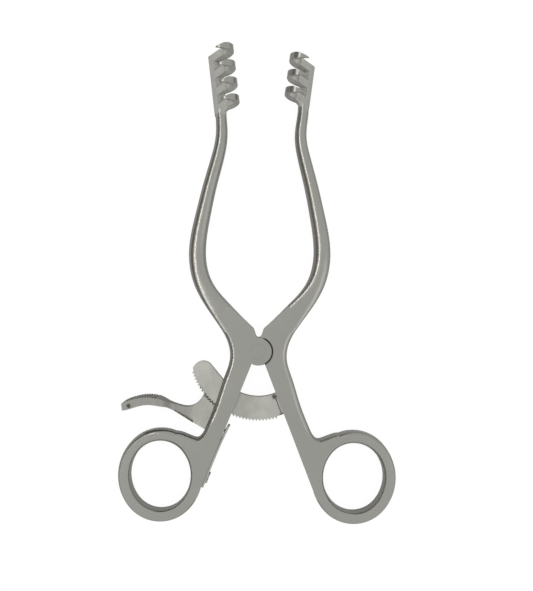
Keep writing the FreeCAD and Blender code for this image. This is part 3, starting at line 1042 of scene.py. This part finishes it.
@dataclass
class Ratchet:
    """The toothed bar and the lever whose pawl holds it.

    The grooves and the handled part of the lever are measured from its pin, the spots from the pivot.
    """

    nodes: dict[str, bpy.types.Object]
    bar_finish: GroundFinish = GroundFinish(
        Slot.BRUSHED_BAR.value, Grinding.UPRIGHT, seam_from=-19.8 * MM, seam_to=-14.6 * MM,
        spots=(Spot(5.6 * MM, -15.4 * MM, 1.2 * MM), Spot(8.2 * MM, -21.6 * MM, 1.1 * MM)),
        seams=(Seam(7.0 * MM, -18.4 * MM, HANDLE_LEAN, 0.28 * MM),))
    lever_roughness: float = 0.48
    first_groove: float = -30.9 * MM
    last_groove: float = -20.7 * MM
    groove_pitch: float = 0.85 * MM
    handled_from: float = 7.5 * MM
    handled_to: float = 11.0 * MM
    pad_spot: Spot = Spot(-43.2 * MM, -18.5 * MM, 1.1 * MM)
    # Brown painted along the neck's lower edge: painted shade of its darker lower part.
    neck_shade_from: Spot = Spot(-27.9 * MM, -20.85 * MM, 0.9 * MM)
    neck_shade_to: Spot = Spot(-22.7 * MM, -24.05 * MM, 1.2 * MM)
    neck_shade_spots: int = 7

    def neck_spots(self) -> tuple[Spot, ...]:
        """The overlapping spots of the brown painted shade along the neck's lower edge.

        Returns:
            The spots, from the pad's end to the pawl's.
        """
        shares = [k / (self.neck_shade_spots - 1) for k in range(self.neck_shade_spots)]
        return tuple(self.neck_shade_from.towards(self.neck_shade_to, share) for share in shares)

    def build(self, workshop: Workshop) -> None:
        """Dresses the bar and the lever.

        Args:
            workshop: the shared effects.
        """
        pin = Pin.of("lever_pin")
        lever_finish = GroundFinish(
            "brushed_lever", Grinding.STEEP, roughness=self.lever_roughness,
            ribs=Ribbing(pin.x + self.first_groove, pin.x + self.last_groove, self.groove_pitch),
            handled=(pin.x - self.handled_from, pin.x - self.handled_to),
            spots=(self.pad_spot, *self.neck_spots()))
        for name, finish in (("ratchet_bar", self.bar_finish), ("release_lever", lever_finish)):
            dress(self.nodes[name], finish.material(workshop))
            LOG.info("dressed %s in %s", name, finish.name)


@dataclass
class LeafSpring:
    """The leaf along the left handle's inner side, with the screw that holds it."""

    nodes: dict[str, bpy.types.Object]
    foot: Point = (-2.15 * MM, -4.05 * MM, 0.0)
    start: float = 27.3 * MM
    lift_to: float = 37.5 * MM
    end: float = 50.0 * MM
    thickness: float = 0.75 * MM
    width: float = 3.8 * MM
    standoff: float = 0.45 * MM
    edge_round: float = 0.12 * MM
    corner_share: float = 0.3
    steps: int = 36
    finish: GroundFinish = GroundFinish(Slot.SPRING_STEEL.value, Grinding.ALONG_LEAF,
                                        base=(0.36, 0.36, 0.335), light=(0.5, 0.5, 0.46))

    def point(self, along: float, off: float, z: float) -> Vector:
        """A point by the handle's inner edge.

        Args:
            along: distance from the pivot along the edge.
            off: distance off the edge, to the right.
            z: height.

        Returns:
            The point.
        """
        down = Vector((-math.sin(HANDLE_LEAN), -math.cos(HANDLE_LEAN), 0.0))
        across = Vector((math.cos(HANDLE_LEAN), -math.sin(HANDLE_LEAN), 0.0))
        foot = Vector(self.foot)
        origin = foot - down * foot.dot(down)
        return origin + down * along + across * off + Vector((0.0, 0.0, z))

    def lift(self, along: float) -> float:
        """How far the leaf stands off the handle.

        Args:
            along: distance from the pivot along the edge.

        Returns:
            The distance off the edge.
        """
        share = max(0.0, (self.lift_to - along) / (self.lift_to - self.start))
        return self.standoff * share**2

    def ring(self, along: float) -> list[Vector]:
        """The leaf's section at one place, with its small corner rounds.

        Args:
            along: distance from the pivot along the edge.

        Returns:
            The points of the section, in order.
        """
        near, far = self.lift(along), self.lift(along) + self.thickness
        low, high = MIDDLE_Z - self.width / 2, MIDDLE_Z + self.width / 2
        full, cut = self.edge_round, self.edge_round * self.corner_share
        corners = [(near, low, 1, 1), (far, low, -1, 1), (far, high, -1, -1), (near, high, 1, -1)]
        points = []
        for k, (off, z, to_off, to_z) in enumerate(corners):
            corner = [(off, z + to_z * full), (off + to_off * cut, z + to_z * cut), (off + to_off * full, z)]
            if k % 2:
                corner.reverse()
            points += [self.point(along, out, height) for out, height in corner]
        return points

    def mesh(self) -> bpy.types.Mesh:
        """Joins the leaf's sections into one closed mesh.

        Returns:
            The new mesh.
        """
        mesh = bpy.data.meshes.new("leaf_spring_leaf")
        bm = bmesh.new()
        before: list[bmesh.types.BMVert] = []
        for k in range(self.steps + 1):
            along = self.start + (self.end - self.start) * k / self.steps
            verts = [bm.verts.new(p) for p in self.ring(along)]
            if before:
                for j in range(len(verts)):
                    after = (j + 1) % len(verts)
                    bm.faces.new((before[j], before[after], verts[after], verts[j]))
            else:
                bm.faces.new(list(reversed(verts)))
            before = verts
        bm.faces.new(before)
        bmesh.ops.recalc_face_normals(bm, faces=bm.faces)
        bm.to_mesh(mesh)
        bm.free()
        return mesh

    def build(self, workshop: Workshop) -> None:
        """Makes the leaf, and dresses it and its screw.

        Args:
            workshop: the shared effects.
        """
        material = self.finish.material(workshop)
        leaf = put("leaf_spring_leaf", self.mesh())
        dress(leaf, material)
        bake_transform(leaf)
        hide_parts("leaf_spring")
        dress(self.nodes["spring_screw"], material)
        LOG.info("built the bending leaf and dressed its screw")


@dataclass(frozen=True)
class SoftBox:
    """A soft box: where it hangs, the point it faces, its width, its length and its power in watts."""

    name: str
    place: Point
    aim: Point
    width: float
    length: float
    power: float

    def hang(self) -> None:
        """Hangs the lamp and turns it to its aim, with its length along Y."""
        data = bpy.data.lights.new(self.name, "AREA")
        data.shape = "RECTANGLE"
        data.size, data.size_y = self.width, self.length
        data.energy = self.power
        lamp = put(self.name, data)
        lamp.location = self.place
        back = (Vector(self.place) - Vector(self.aim)).normalized()
        across = Vector((0.0, 1.0, 0.0)).cross(back).normalized()
        turn = Matrix((across, back.cross(across), back)).transposed()
        lamp.rotation_euler = turn.to_euler()


@dataclass
class Studio:
    """Floor, lamps, surroundings and camera."""

    camera_at: Point = (2.504 * MM, 19.007 * MM, 219.06 * MM)
    camera_near: float = 10.0 * MM
    camera_far: float = 20.0
    frame_height: float = 202.4 * MM
    sensor: float = 36.0
    roll: float = math.radians(0.72)
    floor_size: float = 3.0
    floor_drop: float = 0.02 * MM
    floor_colour: Colour = (0.64, 0.64, 0.64)
    floor_white: float = 1.06
    seen_white: float = 0.9
    mirrored_white: float = 0.08
    room_level: float = 0.92
    dark_level: float = 0.29
    dark_tint: Colour = (1.0, 0.9, 0.8)
    dark_turn: float = math.radians(12.0)
    dark_from: float = math.radians(41.0)
    dark_to: float = math.radians(82.0)
    dark_softness: float = math.radians(5.0)
    boxes: tuple[SoftBox, ...] = (
        SoftBox("strip_box", (-1.12, 0.68, 2.7), aim=(0.0, 0.68, 0.0), width=0.34, length=2.6, power=11.6),
        SoftBox("fill_box", (0.5, -0.2, 0.6), aim=(0.0, 0.02, 0.0), width=0.5, length=0.5, power=0.4),
    )

    def camera(self) -> None:
        """Puts the camera straight above the instrument, with the frame fitted at the joint's middle."""
        data = bpy.data.cameras.new("camera")
        data.sensor_width = self.sensor
        data.sensor_fit = "AUTO"
        data.lens = self.sensor * (self.camera_at[2] - MIDDLE_Z) / self.frame_height
        data.clip_start = self.camera_near
        data.clip_end = self.camera_far
        camera = put("camera", data)
        camera.location = self.camera_at
        camera.rotation_euler = (0.0, 0.0, self.roll)
        bpy.context.scene.camera = camera

    def floor(self) -> None:
        """Lays a plain pale floor that shows white and keeps a soft shadow."""
        mesh = bpy.data.meshes.new("floor")
        half = self.floor_size / 2
        corners = [(-half, -half, 0.0), (half, -half, 0.0), (half, half, 0.0), (-half, half, 0.0)]
        mesh.from_pydata(corners, [], [(0, 1, 2, 3)])
        floor = put("floor", mesh)
        floor.location = (0.0, 0.0, -self.floor_drop)
        material = bpy.data.materials.new("floor")
        graph = bare_graph(material)
        matt = graph.add("BsdfDiffuse", {"Color": opaque(self.floor_colour)})
        white = graph.add("Emission", {"Color": opaque(WHITE), "Strength": self.floor_white})
        rays = graph.add("LightPath").outputs
        mirrored = graph.maths("MAXIMUM", rays["Is Glossy Ray"], rays["Is Transmission Ray"])
        mirrored = graph.maths("MULTIPLY", mirrored, self.mirrored_white)
        share = graph.maths("MULTIPLY_ADD", rays["Is Camera Ray"], self.seen_white, mirrored)
        both = graph.add("MixShader", {0: share, 1: matt.outputs[0], 2: white.outputs[0]})
        graph.add("OutputMaterial", {"Surface": both.outputs[0]})
        dress(floor, material)

    def surroundings(self) -> None:
        """Surrounds the object with a pale room that is darker along its left-hand horizon."""
        world = bpy.data.worlds.new("studio")
        bpy.context.scene.world = world
        graph = bare_graph(world)
        direction = graph.add("TexCoord").outputs["Generated"]
        towards = (-math.cos(self.dark_turn), math.sin(self.dark_turn), 0.0)
        leftward = graph.vector("DOT_PRODUCT", direction, towards).outputs["Value"]
        tilt = graph.maths("ARCTAN2", leftward, graph.axes(direction)[2])
        enter, leave = (graph.smooth(tilt, edge - self.dark_softness, edge + self.dark_softness)
                        for edge in (self.dark_from, self.dark_to))
        dark = graph.maths("SUBTRACT", enter, leave)
        room = graph.maths("MULTIPLY_ADD", dark, self.dark_level - self.room_level, self.room_level)
        seen = graph.add("LightPath").outputs["Is Camera Ray"]
        unseen = graph.maths("SUBTRACT", 1.0, seen)
        strength = graph.maths("ADD", graph.maths("MULTIPLY", unseen, room), seen)
        tint = graph.blend(dark, WHITE, self.dark_tint)
        background = graph.add("Background", {"Color": tint, "Strength": strength})
        graph.add("OutputWorld", {"Surface": background.outputs[0]})

    def build(self) -> None:
        """Sets up the whole studio."""
        bpy.context.scene.view_settings.view_transform = "Standard"
        self.camera()
        self.floor()
        self.surroundings()
        for box in self.boxes:
            box.hang()
        LOG.info("studio is set")


def main() -> None:
    """Dresses the retractor, sub-assembly by sub-assembly."""
    logging.basicConfig(level=logging.INFO, format="%(name)s: %(message)s")
    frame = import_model()
    nodes = frame["nodes"]
    workshop = Workshop()
    Forgings(nodes).build(workshop)
    Ratchet(nodes).build(workshop)
    LeafSpring(nodes).build(workshop)
    Studio().build()


if __name__ == "__main__":
    main()
